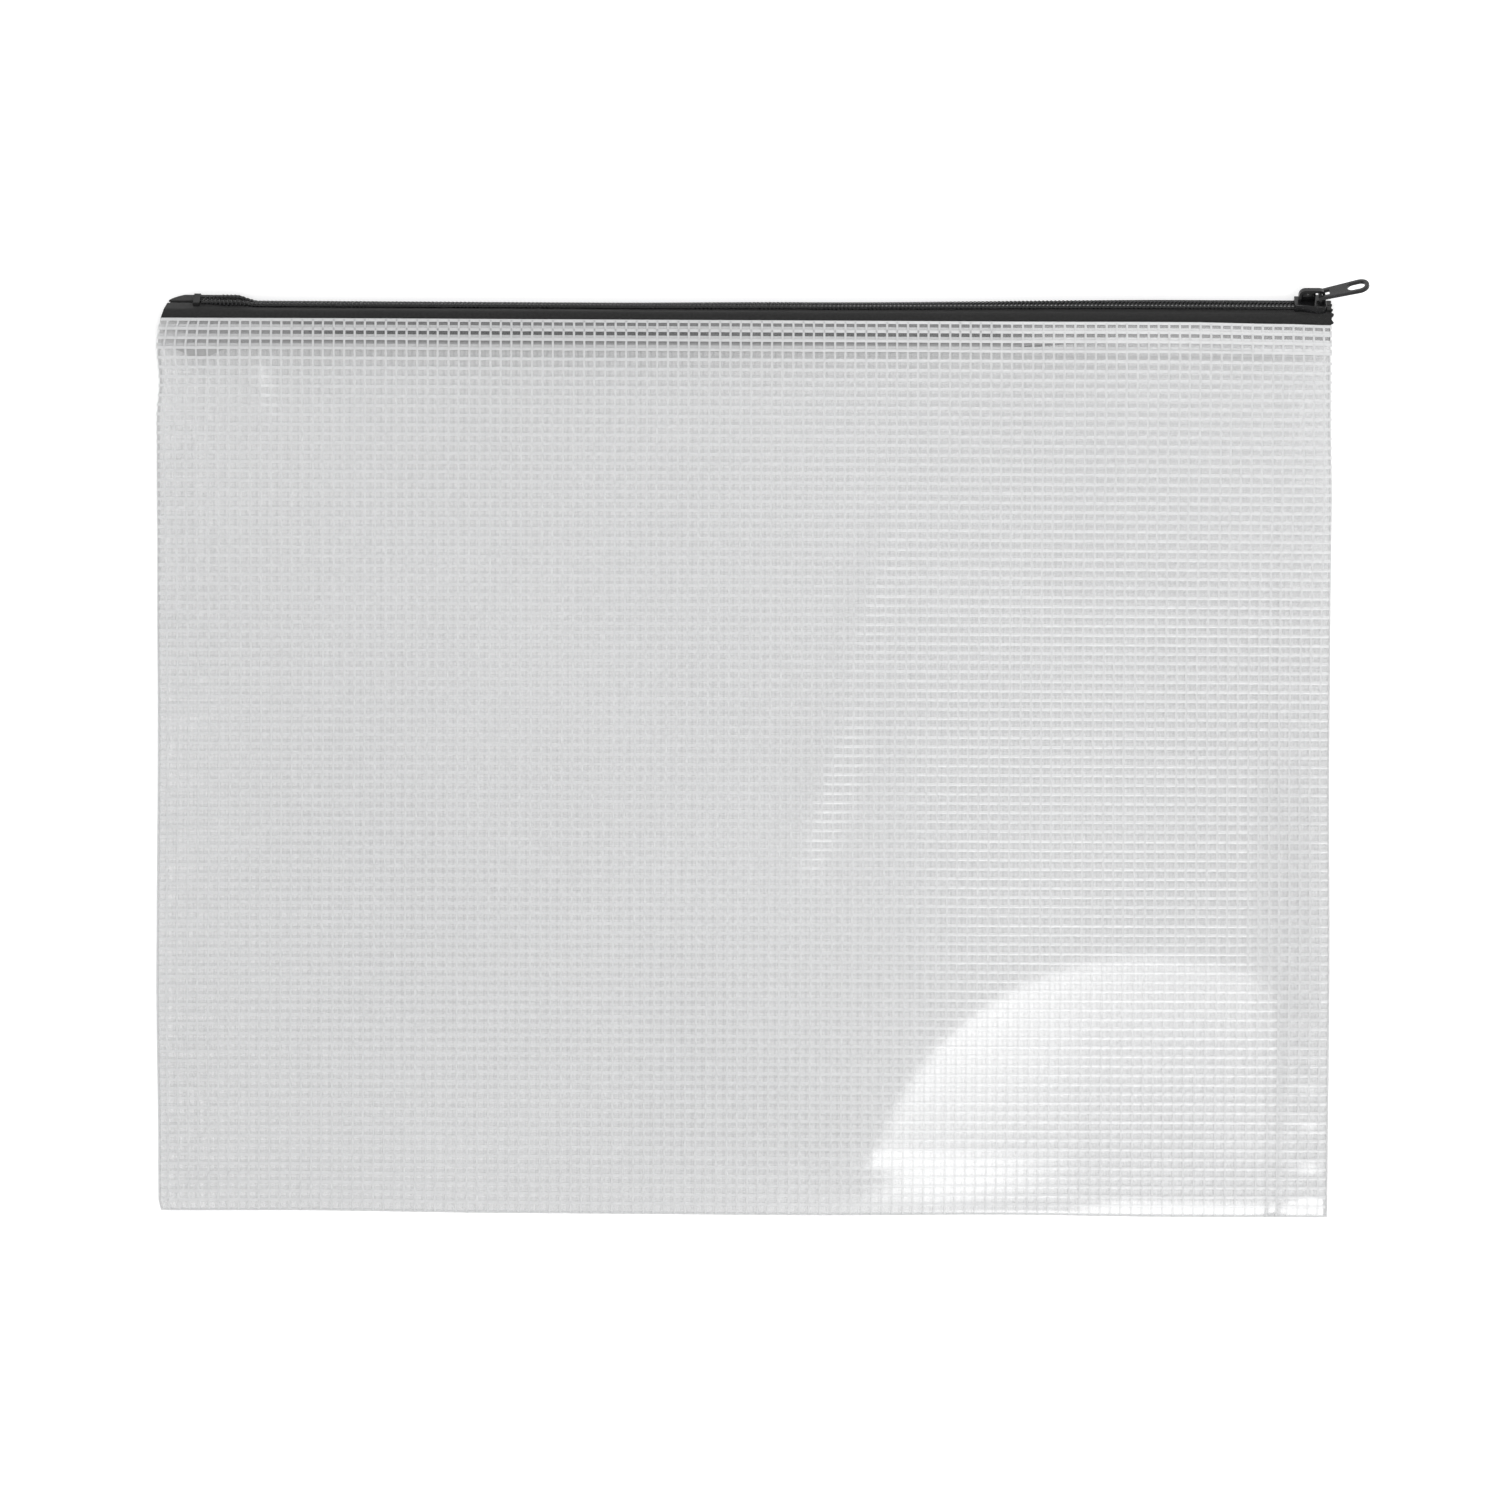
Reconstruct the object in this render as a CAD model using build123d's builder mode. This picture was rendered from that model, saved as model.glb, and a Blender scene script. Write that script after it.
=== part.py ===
"""Zip-top document wallet: a pouch of mesh-reinforced film closed by a nylon coil zip.

Frame: +X runs along the zip towards the closed end, +Y from the bottom fold towards the zip and +Z up from
the table. The origin lies on the table under the middle of the pouch. Lengths are in millimetres.
"""
import os
from math import cos, floor, radians, sin

from build123d import *

os.makedirs("parts", exist_ok=True)

# Pouch film
pouch_width = 350.0
pouch_height = 267.0
film_thickness = 0.35
pocket_rise = 5.6
least_crown = 0.05
flank_width = 25.0
mouth_slope = 24.0
seam_width = 16.0
hem_depth = 7.5

# Zip tapes and how the zip lies
zip_tilt = 40.0
zip_show = 5.0
tape_thickness = 0.5
tape_hidden = 8.5
tape_end_lean = 23.0
front_bend_radius = 1.0
back_bend_radius = 0.7

# Coil teeth, core cord and stitching
coil_pitch = 1.2
coil_height = 1.35
tooth_width = 0.5
tooth_overlap = 0.4
spine_inner = 0.75
spine_outer = 1.85
cord_diameter = 0.5
stitch_height = 0.25
stitch_width = 0.5

# Slider
slider_length = 9.4
rear_straight = 2.2
shoulder_length = 3.3
wing_thickness = 0.7
flange_thickness = 0.45
shoulder_radius = 1.2
wing_round = 0.25
post_width = 0.5
post_length = 3.4
post_flat = 1.4
post_inset = 0.4

# Bail over the slider
bail_width = 1.6
bail_thickness = 0.8
bail_inner_height = 3.2
bail_front_inset = 0.4
bail_rear_inset = 1.0
bail_corner_radius = 1.6

# Pull tab
pull_angle = 15.5
pull_swing = 104.0
pull_length = 14.8
pull_tip_width = 6.0
pull_thickness = 1.1
bar_thickness = 1.1
arm_width = 1.1
hole_length = 5.4
hole_width = 3.6
hole_rim = 1.2
pull_round = 0.2
bar_drop = 0.6

# End stops
stop_plate = 0.4
stop_half_width = 2.4
top_stop_height = 0.9
top_stop_length = 1.35
bottom_stop_length = 2.0
bottom_stop_inset = 10.0

# Clearances
side_clearance = 0.1
seam_clearance = 0.5
bore_clearance = 0.05
wing_clearance = 0.2
channel_clearance = 0.15
post_clearance = 0.15
tape_post_clearance = 0.3
stop_clearance = 0.2
pivot_clearance = 0.25
arm_clearance = 0.4
overrun = 1.0

# Places that follow from the sizes above
tilt = radians(zip_tilt)
half_width = pouch_width / 2
bottom_y = -pouch_height / 2
mouth_y = pouch_height / 2
back_top = film_thickness
seam_thickness = 2 * film_thickness
rim_top = back_top + seam_thickness + film_thickness
fold_y = bottom_y + rim_top / 2
crown_top = back_top + pocket_rise + film_thickness
plateau_half = half_width - flank_width

# The slider's channel clears the closed teeth at its rear and the parted teeth at its shoulders
coil_spread = post_width / 2 + post_clearance + tooth_overlap
rear_width = 2 * (spine_outer + channel_clearance + flange_thickness)
shoulder_width = rear_width + 2 * coil_spread
tape_gap = post_width + 2 * tape_post_clearance

# The straight part of both tapes reaches past the slider, so the slider runs free along the zip
tape_straight = shoulder_width / 2 + wing_clearance
back_run_z = back_top + film_thickness + tape_thickness / 2
chain_z = back_run_z + tape_straight * cos(tilt) + back_bend_radius * (1 + sin(tilt))
chain_y = mouth_y + zip_show
front_run_z = chain_z + tape_straight * cos(tilt) + front_bend_radius * (1 - sin(tilt))
front_hem_z = front_run_z + tape_thickness / 2
mouth_top = front_hem_z + 2 * film_thickness
tape_end_y = mouth_y - tape_hidden
front_bend_y = chain_y - tape_straight * sin(tilt) - front_bend_radius * cos(tilt)
back_bend_y = chain_y + tape_straight * sin(tilt) - back_bend_radius * cos(tilt)
zip_half = half_width - film_thickness - side_clearance

# Directions of the zip: out of its face, and across it from the back tape to the front tape
face_dir = (0, cos(tilt), sin(tilt))
cross_dir = (0, -sin(tilt), cos(tilt))


def zip_section(x):
    """Plane across the zip at x: local x runs from back tape to front tape, local y out of the zip face."""
    return Plane(origin=(x, chain_y, chain_z), x_dir=cross_dir, z_dir=(-1, 0, 0))


def zip_face(level):
    """Plane parallel to the zip face: local x along the zip, local y from the front tape to the back tape."""
    origin = (0, chain_y + level * cos(tilt), chain_z + level * sin(tilt))
    return Plane(origin=origin, x_dir=(1, 0, 0), z_dir=face_dir)


# Levels out of the zip face, measured from the middle of the tapes
tape_top = tape_thickness / 2
coil_top = tape_top + coil_height
stitch_top = coil_top + stitch_height
wing_under = stitch_top + wing_clearance
wing_top = wing_under + wing_thickness
lower_wing_top = -tape_top - wing_clearance
lower_wing_under = lower_wing_top - wing_thickness
flange_foot = tape_top + wing_clearance

# Stations along the zip
top_stop_x = zip_half - top_stop_length
slider_front = top_stop_x - stop_clearance
slider_rear = slider_front - slider_length
shoulder_x = slider_front - shoulder_length
flare_x = slider_rear + rear_straight
bottom_stop_x = -half_width + bottom_stop_inset
coil_start = bottom_stop_x + bottom_stop_length + stop_clearance
coil_end = top_stop_x - stop_clearance / 2
cord_end = flare_x - seam_clearance

# Back panel
with BuildPart() as back_panel:
    with BuildSketch(Plane.XY):
        with Locations((0, (fold_y + mouth_y) / 2)):
            Rectangle(pouch_width, mouth_y - fold_y)
    extrude(amount=film_thickness)
back_panel.part.label = "back_panel"
export_step(back_panel.part, "parts/back_panel.step")


def side_outline(edge_top, middle_top):
    """Corners of the right-hand border of the front film cut across the pouch: a flank and an upright edge."""
    inner_half = half_width - film_thickness
    return [
        (plateau_half, middle_top),
        (half_width, edge_top),
        (half_width, back_top),
        (inner_half, back_top),
        (inner_half, edge_top - film_thickness),
        (plateau_half, middle_top - film_thickness),
    ]


def left_outline(edge_top, middle_top):
    """The right-hand border mirrored to the left."""
    return [(-x, z) for x, z in reversed(side_outline(edge_top, middle_top))]


def middle_outline(edge_top, middle_top):
    """Corners of the middle of the front film cut across the pouch."""
    return [
        (-plateau_half, middle_top),
        (plateau_half, middle_top),
        (plateau_half, middle_top - film_thickness),
        (-plateau_half, middle_top - film_thickness),
    ]


def full_outline(edge_top, middle_top):
    """Corners of the front film cut across the pouch from edge to edge."""
    return left_outline(edge_top, middle_top) + side_outline(edge_top, middle_top)


# Front film, in zones that meet along its fold lines: (y, top of the edges, top of the middle) at each station
at_fold = (fold_y, rim_top, rim_top + least_crown)
at_border = (bottom_y + flank_width, rim_top, crown_top)
at_slope = (tape_end_y - mouth_slope, rim_top, crown_top)
at_tape = (tape_end_y, mouth_top, mouth_top + least_crown)
at_mouth = (mouth_y, mouth_top, mouth_top + least_crown)
for name, outline, stations in (
    ("front_panel", middle_outline, (at_border, at_slope)),
    ("front_bottom_border", full_outline, (at_fold, at_border)),
    ("front_left_border", left_outline, (at_border, at_slope)),
    ("front_right_border", side_outline, (at_border, at_slope)),
    ("front_mouth_band", middle_outline, (at_slope, at_tape, at_mouth)),
    ("front_left_corner", left_outline, (at_slope, at_tape, at_mouth)),
    ("front_right_corner", side_outline, (at_slope, at_tape, at_mouth)),
):
    with BuildPart() as film:
        for y, edge_top, middle_top in stations:
            with BuildSketch(Plane.XZ.offset(-y)):
                with BuildLine():
                    Polyline(*outline(edge_top, middle_top), close=True)
                make_face()
        loft(ruled=True)
    film.part.label = name
    export_step(film.part, "parts/" + name + ".step")

# Bottom fold
with BuildPart() as bottom_fold:
    with BuildSketch(Plane.YZ.offset(-half_width)):
        with Locations((fold_y, rim_top / 2)):
            Circle(rim_top / 2)
            Circle(rim_top / 2 - film_thickness, mode=Mode.SUBTRACT)
        with Locations((fold_y + rim_top / 2, rim_top / 2)):
            Rectangle(rim_top, rim_top, mode=Mode.SUBTRACT)
    extrude(amount=pouch_width)
bottom_fold.part.label = "bottom_fold"
export_step(bottom_fold.part, "parts/bottom_fold.step")

# Side seams, the doubled margins inside the two edges
seam_top_y = tape_end_y - seam_clearance
for side, name in ((-1, "left_side_seam"), (1, "right_side_seam")):
    with BuildPart() as side_seam:
        with BuildSketch(Plane.XY.offset(back_top)):
            with Locations((side * (half_width - film_thickness - seam_width / 2), (fold_y + seam_top_y) / 2)):
                Rectangle(seam_width, seam_top_y - fold_y)
        extrude(amount=seam_thickness)
    side_seam.part.label = name
    export_step(side_seam.part, "parts/" + name + ".step")

# Hems, the folded-in top edges of the two films
for name, level in (("back_hem", back_top), ("front_hem", front_hem_z)):
    with BuildPart() as hem:
        with BuildSketch(Plane.XY.offset(level)):
            with Locations((0, mouth_y - hem_depth / 2)):
                Rectangle(2 * zip_half, hem_depth)
        extrude(amount=film_thickness)
    hem.part.label = name
    export_step(hem.part, "parts/" + name + ".step")

# Tapes: straight at the teeth, then bent over to the flaps that lie against the front and back film
lean = radians(tape_end_lean)
lean_plane = Plane(origin=(-zip_half, mouth_y, 0), z_dir=(cos(lean), -sin(lean), 0))
for name, side, bend_radius, bend_angle, bend_y, run_z in (
    ("front_tape", 1, front_bend_radius, zip_tilt - 90, front_bend_y, front_run_z),
    ("back_tape", -1, back_bend_radius, zip_tilt + 90, back_bend_y, back_run_z),
):
    with BuildPart() as tape:
        with BuildSketch(zip_section(zip_half)):
            with BuildLine():
                straight = Line((side * tape_gap / 2, 0), (side * tape_straight, 0))
                JernArc(start=straight @ 1, tangent=straight % 1, radius=bend_radius, arc_size=bend_angle)
            trace(line_width=tape_thickness)
        extrude(amount=2 * zip_half)
        split(bisect_by=lean_plane, keep=Keep.TOP)
    tape.part.label = name
    export_step(tape.part, "parts/" + name + ".step")

    with BuildPart() as flap:
        with BuildSketch(Plane.XY.offset(run_z - tape_thickness / 2)):
            with Locations((0, (bend_y + tape_end_y) / 2)):
                Rectangle(2 * zip_half, bend_y - tape_end_y)
        extrude(amount=tape_thickness)
        split(bisect_by=lean_plane, keep=Keep.TOP)
    flap.part.label = name + "_flap"
    export_step(flap.part, "parts/" + name + "_flap.step")


def spread(x):
    """Distance that the slider holds a row of teeth away from the other row at x."""
    share = (x - flare_x) / (shoulder_x - flare_x)
    return coil_spread * min(max(share, 0), 1)


def coil_outline(side, shift):
    """Points round one row of teeth in the zip face, with its teeth reaching past the middle of the zip."""
    points = [(coil_start, -side * spine_outer), (coil_start, -side * spine_inner)]
    count = floor((coil_end - coil_start - shift - tooth_width) / coil_pitch)
    for number in range(count + 1):
        left = coil_start + shift + number * coil_pitch
        right = left + tooth_width
        root = spine_inner + spread(left)
        tip = spread(left) - tooth_overlap
        points += [(left, -side * root), (left, -side * tip), (right, -side * tip), (right, -side * root)]
    points.append((coil_end, -side * (spine_inner + spread(coil_end))))
    points.append((coil_end, -side * (spine_outer + spread(coil_end))))
    points.append((shoulder_x, -side * (spine_outer + coil_spread)))
    points.append((flare_x, -side * spine_outer))
    return points


# Coils, their core cords and the stitching that holds them to the tapes
spine_middle = (spine_inner + spine_outer) / 2
cord_level = tape_top + coil_height / 2
for row, side, shift in (("front", 1, coil_pitch / 4), ("back", -1, 3 * coil_pitch / 4)):
    with BuildPart() as coil:
        with BuildSketch(zip_face(tape_top)):
            with BuildLine():
                Polyline(*coil_outline(side, shift), close=True)
            make_face()
        extrude(amount=coil_height)
        with BuildSketch(zip_section(cord_end)):
            with Locations((side * spine_middle, cord_level)):
                Circle(cord_diameter / 2 + bore_clearance)
        extrude(amount=cord_end - coil_start + overrun, mode=Mode.SUBTRACT)
    coil.part.label = row + "_coil"
    export_step(coil.part, "parts/" + row + "_coil.step")

    with BuildPart() as core_cord:
        with BuildSketch(zip_section(cord_end)):
            with Locations((side * spine_middle, cord_level)):
                Circle(cord_diameter / 2)
        extrude(amount=cord_end - coil_start)
    core_cord.part.label = row + "_core_cord"
    export_step(core_cord.part, "parts/" + row + "_core_cord.step")

    with BuildPart() as stitching:
        with BuildSketch(zip_section(cord_end)):
            with Locations((side * spine_middle, coil_top + stitch_height / 2)):
                Rectangle(stitch_width, stitch_height)
        extrude(amount=cord_end - coil_start)
    stitching.part.label = row + "_stitching"
    export_step(stitching.part, "parts/" + row + "_stitching.step")

# Top stops, a channel crimped round the end of each tape
stop_low = -tape_top - stop_plate
stop_inner = tape_gap / 2 - stop_plate
for row, side in (("front", 1), ("back", -1)):
    with BuildPart() as top_stop:
        with BuildSketch(zip_section(zip_half)):
            with Locations((side * (stop_inner + stop_half_width) / 2, (stop_low + tape_top + top_stop_height) / 2)):
                Rectangle(stop_half_width - stop_inner, tape_top + top_stop_height - stop_low)
            with Locations((side * (tape_gap / 2 + stop_half_width + overrun) / 2, 0)):
                Rectangle(stop_half_width + overrun - tape_gap / 2, tape_thickness, mode=Mode.SUBTRACT)
        extrude(amount=top_stop_length)
    top_stop.part.label = row + "_top_stop"
    export_step(top_stop.part, "parts/" + row + "_top_stop.step")

# Bottom stop, crimped over both tapes
with BuildPart() as bottom_stop:
    with BuildSketch(zip_section(bottom_stop_x + bottom_stop_length)):
        with Locations((0, (stop_low + coil_top) / 2)):
            Rectangle(2 * stop_half_width, coil_top - stop_low)
        for side in (1, -1):
            with Locations((side * (tape_gap / 2 + stop_half_width + overrun) / 2, 0)):
                Rectangle(stop_half_width + overrun - tape_gap / 2, tape_thickness, mode=Mode.SUBTRACT)
    extrude(amount=bottom_stop_length)
bottom_stop.part.label = "bottom_stop"
export_step(bottom_stop.part, "parts/bottom_stop.step")


def shield_points(margin, reach):
    """Corners of the slider seen on its face, drawn in by a margin at the sides and reaching past both ends."""
    rear_half = rear_width / 2 - margin
    front_half = shoulder_width / 2 - margin
    upper = [
        (slider_rear - reach, rear_half),
        (flare_x, rear_half),
        (shoulder_x, front_half),
        (slider_front + reach, front_half),
    ]
    return upper + [(x, -y) for x, y in reversed(upper)]


# Slider body: two wings joined by a post, with flanges hanging from the upper wing
with BuildPart() as slider_body:
    for level, top in ((lower_wing_under, lower_wing_top), (wing_under, wing_top)):
        with BuildSketch(zip_face(level)) as wing:
            with BuildLine():
                Polyline(*shield_points(0, 0), close=True)
            make_face()
            fillet(wing.vertices().group_by(Axis.X)[-1], shoulder_radius)
        extrude(amount=top - level)
    with BuildSketch(zip_face(flange_foot)) as flanges:
        with BuildLine():
            Polyline(*shield_points(0, 0), close=True)
        make_face()
        fillet(flanges.vertices().group_by(Axis.X)[-1], shoulder_radius)
        with BuildLine():
            Polyline(*shield_points(flange_thickness, overrun), close=True)
        make_face(mode=Mode.SUBTRACT)
    extrude(amount=wing_under - flange_foot)
    post_front = slider_front - post_inset
    post_rear = post_front - post_length
    post_point = (post_length - post_flat) / 2
    with BuildSketch(zip_face(lower_wing_top)):
        with BuildLine():
            Polyline(
                (post_rear, 0),
                (post_rear + post_point, post_width / 2),
                (post_front - post_point, post_width / 2),
                (post_front, 0),
                (post_front - post_point, -post_width / 2),
                (post_rear + post_point, -post_width / 2),
                close=True,
            )
        make_face()
    extrude(amount=wing_under - lower_wing_top)
    top_face = slider_body.faces().sort_by(Axis((0, 0, 0), face_dir))[-1]
    fillet(top_face.edges(), wing_round)
slider_body.part.label = "slider_body"
export_step(slider_body.part, "parts/slider_body.step")

# Bail, an arch standing on the upper wing
bail_front = slider_front - bail_front_inset - bail_thickness / 2
bail_rear = slider_rear + bail_rear_inset + bail_thickness / 2
bail_level = wing_top + bail_inner_height + bail_thickness / 2
side_plane = Plane(origin=(0, chain_y, chain_z), x_dir=(1, 0, 0), z_dir=cross_dir)
with BuildPart() as slider_bail:
    with BuildSketch(side_plane):
        with BuildLine():
            FilletPolyline(
                (bail_rear, wing_top),
                (bail_rear, bail_level),
                (bail_front, bail_level),
                (bail_front, wing_top),
                radius=bail_corner_radius,
            )
        trace(line_width=bail_thickness)
    extrude(amount=bail_width / 2, both=True)
slider_bail.part.label = "slider_bail"
export_step(slider_bail.part, "parts/slider_bail.step")

# Pull tab, swinging on its cross bar under the bail
pull = radians(pull_angle)
bar_reach = bar_thickness / 2
pivot_x = bail_front - bail_thickness / 2 - bar_reach - pivot_clearance
pivot_level = wing_top + bail_inner_height - pull_thickness / 2 - bar_drop
swung = radians(pull_angle + pull_swing)
window_rise = bail_level + bail_thickness / 2 - pivot_level + pivot_clearance
window_reach = (window_rise + pull_thickness / 2 * abs(cos(swung))) / sin(swung)
window_width = bail_width + 2 * arm_clearance
pull_root_width = window_width + 2 * arm_width
pivot_y = chain_y + pivot_level * cos(tilt)
pivot_z = chain_z + pivot_level * sin(tilt)
pull_dir = (cos(pull), sin(pull) * cos(tilt), sin(pull) * sin(tilt))
pull_normal = (-sin(pull), cos(pull) * cos(tilt), cos(pull) * sin(tilt))
tip_centre = pull_length - pull_tip_width / 2
hole_centre = pull_length - hole_rim - hole_length / 2
with BuildPart() as pull_tab:
    with BuildSketch(Plane(origin=(pivot_x, pivot_y, pivot_z), x_dir=pull_dir, z_dir=pull_normal)):
        with BuildLine():
            Polyline(
                (-bar_reach, -pull_root_width / 2),
                (tip_centre, -pull_tip_width / 2),
                (tip_centre, pull_tip_width / 2),
                (-bar_reach, pull_root_width / 2),
                close=True,
            )
        make_face()
        with Locations((tip_centre, 0)):
            Circle(pull_tip_width / 2)
        with Locations(((bar_reach + window_reach) / 2, 0)):
            Rectangle(window_reach - bar_reach, window_width, mode=Mode.SUBTRACT)
        with Locations((hole_centre, 0)):
            SlotOverall(hole_length, hole_width, mode=Mode.SUBTRACT)
    extrude(amount=pull_thickness / 2, both=True)
    broad_faces = pull_tab.faces().filter_by(Axis((0, 0, 0), pull_normal))
    fillet(broad_faces.edges(), pull_round)
pull_tab.part.label = "pull_tab"
export_step(pull_tab.part, "parts/pull_tab.step")
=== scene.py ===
import bpy
import numpy as np
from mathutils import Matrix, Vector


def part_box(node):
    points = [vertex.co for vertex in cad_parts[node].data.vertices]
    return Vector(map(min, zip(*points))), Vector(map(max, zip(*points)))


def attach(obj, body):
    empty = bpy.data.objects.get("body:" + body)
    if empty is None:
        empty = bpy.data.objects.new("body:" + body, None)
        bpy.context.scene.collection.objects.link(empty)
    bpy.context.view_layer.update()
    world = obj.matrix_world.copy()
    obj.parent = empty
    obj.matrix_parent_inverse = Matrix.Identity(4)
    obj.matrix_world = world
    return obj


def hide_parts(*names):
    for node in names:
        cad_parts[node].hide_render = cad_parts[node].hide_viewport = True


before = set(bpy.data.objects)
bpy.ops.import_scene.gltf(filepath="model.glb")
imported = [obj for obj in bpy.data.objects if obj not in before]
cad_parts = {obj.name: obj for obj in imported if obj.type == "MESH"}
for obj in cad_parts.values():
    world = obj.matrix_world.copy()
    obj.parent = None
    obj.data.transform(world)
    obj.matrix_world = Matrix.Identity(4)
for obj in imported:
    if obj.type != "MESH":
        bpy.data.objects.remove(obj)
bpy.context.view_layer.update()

# Lengths are in millimetres here and become metres where a mesh is made
MM = 0.001
chance = np.random.default_rng(27)


def node_box(node):
    """Lowest and highest corner of a CAD node, in millimetres."""
    low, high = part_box(node)
    return np.array(low) / MM, np.array(high) / MM


# Pouch, read from the frame
HALF_WIDTH = node_box("back_panel")[1][0]
FOLD_Y = node_box("back_panel")[0][1]
MOUTH_Y = node_box("back_panel")[1][1]
FILM = node_box("back_panel")[1][2]
BOTTOM_Y = node_box("bottom_fold")[0][1]
RIM_TOP = node_box("bottom_fold")[1][2]
CROWN_TOP = node_box("front_panel")[1][2]
MOUTH_TOP = node_box("front_mouth_band")[1][2]
HEM_EXTRA = 1.0
HEM_DEPTH = MOUTH_Y - node_box("front_hem")[0][1] + HEM_EXTRA
SEAM_WIDTH = np.ptp(np.array(node_box("left_side_seam"))[:, 0])
SEAM_TOP_Y = node_box("left_side_seam")[1][1]
HEM_FOLD = 0.2
SIDE_FADE = 30.0
END_FADE = 25.0

# Mesh threads laminated into the film
WARP_PITCH = 3.11
WEFT_PITCH = 2.80
WARP_WIDTH = 0.66
WEFT_WIDTH = 0.90
HEM_WEFT_WIDTH = 1.15
THREAD_HEIGHT = 0.07
THREAD_STRAY = 0.06
WELD_WIDTH = 0.8
WEFT_START = MOUTH_Y - 0.6
WARP_START = WARP_PITCH / 2
HEM_WEFT_SHIFT = 1.0
BACK_MESH_TURN = 0.004

# Folds of the front film
CORNER_FOLD_X = 122.0
CORNER_FOLD_Y = -140.0
CORNER_FOLD_RADIUS = 86.0
CORNER_FOLD_HEIGHT = 2.6
CORNER_FOLD_SPREAD = 60.0
CORNER_FOLD_SLOPE = 0.09
CORNER_FOLD_CURVE = 0.00075
HEM_ROLL = 0.9
HEM_ROLL_DEPTH = 8.2
HEM_ROLL_SPREAD = 4.8
SEAM_BOW = 0.35

# Zip tapes, with the tilt that the zip has in the slider, as in the CAD model
SLIDER_TILT = 40.0
TAPE = 0.5
TAPE_GAP = 1.1
TAPE_DIP = 3.4
TAPE_INSET = 0.5
LOBE_PITCH = 2.7
FRONT_BEND = 1.0
BACK_BEND = 0.7
TAPE_END_Y = node_box("front_tape_flap")[0][1]
ZIP_HALF = node_box("front_tape")[1][0]

# Coil, at the levels that it has in the CAD model
COIL_PITCH = 1.2
COIL_WIRE = 0.5
COIL_SIDES = 6
COIL_TURN_POINTS = 12
COIL_REACH = 0.4
COIL_OUTER = 1.85
COIL_HEIGHT = 1.35
COIL_START = node_box("front_coil")[0][0]
COIL_END = node_box("front_coil")[1][0]

# Filler cord and stitches
CORD_LEVEL = TAPE / 2 + COIL_HEIGHT / 2
CORD_END = node_box("front_core_cord")[1][0]
CORD_INNER = 0.75
CORD_RADIUS = 0.22
CORD_LOBE = 0.13
CORD_LAY = 3.0
CORD_RINGS = 900
CORD_SIDES = 12
INNER_STITCH = 1.0
OUTER_STITCH = 1.5
STITCH_RADIUS = 0.15
STITCH_SIDES = 6
STITCH_SWAY = 0.12
STITCH_SINK = 0.2
STITCH_STAND = 0.18

# Where the coil rows part for the slider's post, and how far the slider runs
FLARE_X = CORD_END + 0.5
SHOULDER_X = FLARE_X + 3.9
COIL_SPREAD = 0.8
COIL_CLOSING = 6.0
ZIP_TURNING = 7.0
SLIDER_TRAVEL = 326.0
OPEN_END_X = node_box("slider_body")[1][0] - SLIDER_TRAVEL + 0.5

# Levels of the two tape flaps and the middle of the closed teeth
FRONT_RUN_Z = np.mean(np.array(node_box("front_tape_flap"))[:, 2])
BACK_RUN_Z = np.mean(np.array(node_box("back_tape_flap"))[:, 2])
cords_middle = np.mean([node_box("front_core_cord"), node_box("back_core_cord")], axis=(0, 1))
CHAIN_Y = cords_middle[1] - CORD_LEVEL * np.cos(np.radians(SLIDER_TILT))


def ease(value, start, end):
    """0 before start, 1 after end and a cubic step between them."""
    share = np.clip((value - start) / (end - start), 0.0, 1.0)
    return share * share * (3.0 - 2.0 * share)


def stations(pairs, at):
    """Curve through (place, value) pairs, with a cubic step from each pair to the next."""
    places, values = np.array(pairs, float).T
    left = np.clip(np.searchsorted(places, at) - 1, 0, len(places) - 2)
    step = ease(at, places[left], places[left + 1])
    return values[left] + step * (values[left + 1] - values[left])


def hump(value, middle, spread):
    """Bell curve of height 1 round a middle."""
    return np.exp(-(((value - middle) / spread) ** 2))


def grid_faces(rows, columns, closed=False):
    """Quads between neighbouring points of a rows by columns grid; closed joins its columns round."""
    row, column = np.meshgrid(np.arange(rows - 1), np.arange(columns - (not closed)), indexing="ij")
    after = (column + 1) % columns
    here = row * columns + column
    beside = row * columns + after
    return np.stack([here, beside, beside + columns, here + columns], axis=-1).reshape(-1, 4)


def tube_faces(rings, sides):
    """Quads round a tube of rings with an even number of sides, and quads that close both ends."""
    start = fan_faces(sides)
    end = fan_faces(sides)[:, ::-1] + (rings - 1) * sides
    return np.concatenate([grid_faces(rings, sides, closed=True), start, end])


def fan_faces(sides):
    """Quads that fill a ring with an even number of points, all from its first point."""
    step = np.arange(1, sides - 2, 2)
    return np.stack([step * 0, step + 2, step + 1, step], axis=-1)


def make_piece(name, body, finish, points, faces, replaced=(), uv=None, shade=None, thickness=0.0,
               smooth=True):
    """One piece of the object from points in millimetres and quads; a thickness turns a sheet into a wall."""
    mesh = bpy.data.meshes.new(name)
    points = np.asarray(points, float).reshape(-1, 3)
    mesh.from_pydata((points * MM).tolist(), [], faces.tolist())
    mesh.polygons.foreach_set("use_smooth", np.full(len(faces), smooth))
    if uv is not None:
        layer = mesh.uv_layers.new(name="flat")
        layer.data.foreach_set("uv", np.asarray(uv).reshape(-1, 2)[faces.ravel()].ravel() * MM)
    if shade is not None:
        tint = mesh.attributes.new("shade", "FLOAT", "POINT")
        tint.data.foreach_set("value", np.asarray(shade, np.float32).ravel())
    mesh.materials.append(finish)
    mesh.update()
    piece = bpy.data.objects.new(name, mesh)
    bpy.context.scene.collection.objects.link(piece)
    if thickness:
        wall = piece.modifiers.new("wall", "SOLIDIFY")
        wall.thickness = thickness * MM
        wall.offset = 0.0
    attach(piece, body)
    if replaced:
        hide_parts(*replaced)
    return piece


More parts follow.
